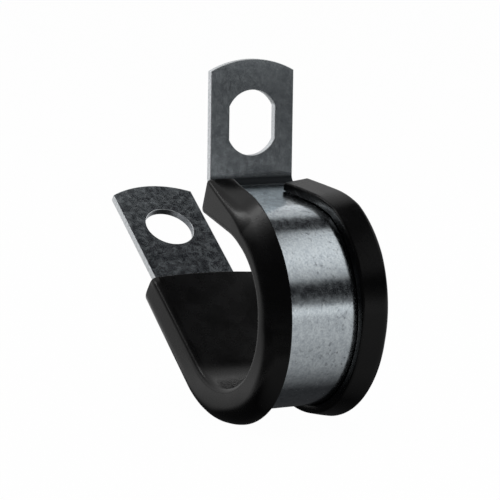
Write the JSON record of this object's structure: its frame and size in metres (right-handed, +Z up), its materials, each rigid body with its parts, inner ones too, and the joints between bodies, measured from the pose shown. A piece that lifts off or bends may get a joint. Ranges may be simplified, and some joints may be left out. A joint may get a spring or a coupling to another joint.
{
  "type": "rubber-lined band clamp",
  "caption": "Open loop clamp of bent zinc-plated steel strip with a rubber channel liner; a slotted tab and a leg with a round hole bolt together round a cable or pipe.",
  "frame": {"origin": "centre of the lined loop, on the axis of the gripped cable or pipe, midway across the strip", "axes": "+Y along the gripped cable or pipe, +Z up the slotted upper tab, +X from the mouth towards the closed side of the loop"},
  "size_m": [0.0536, 0.017, 0.048],
  "materials": {
    "steel": "bright zinc plated",
    "rubber": "satin black"
  },
  "bodies": {
    "root": {"steel_band": "steel", "rubber_liner": "rubber"}
  },
  "joints": []
}
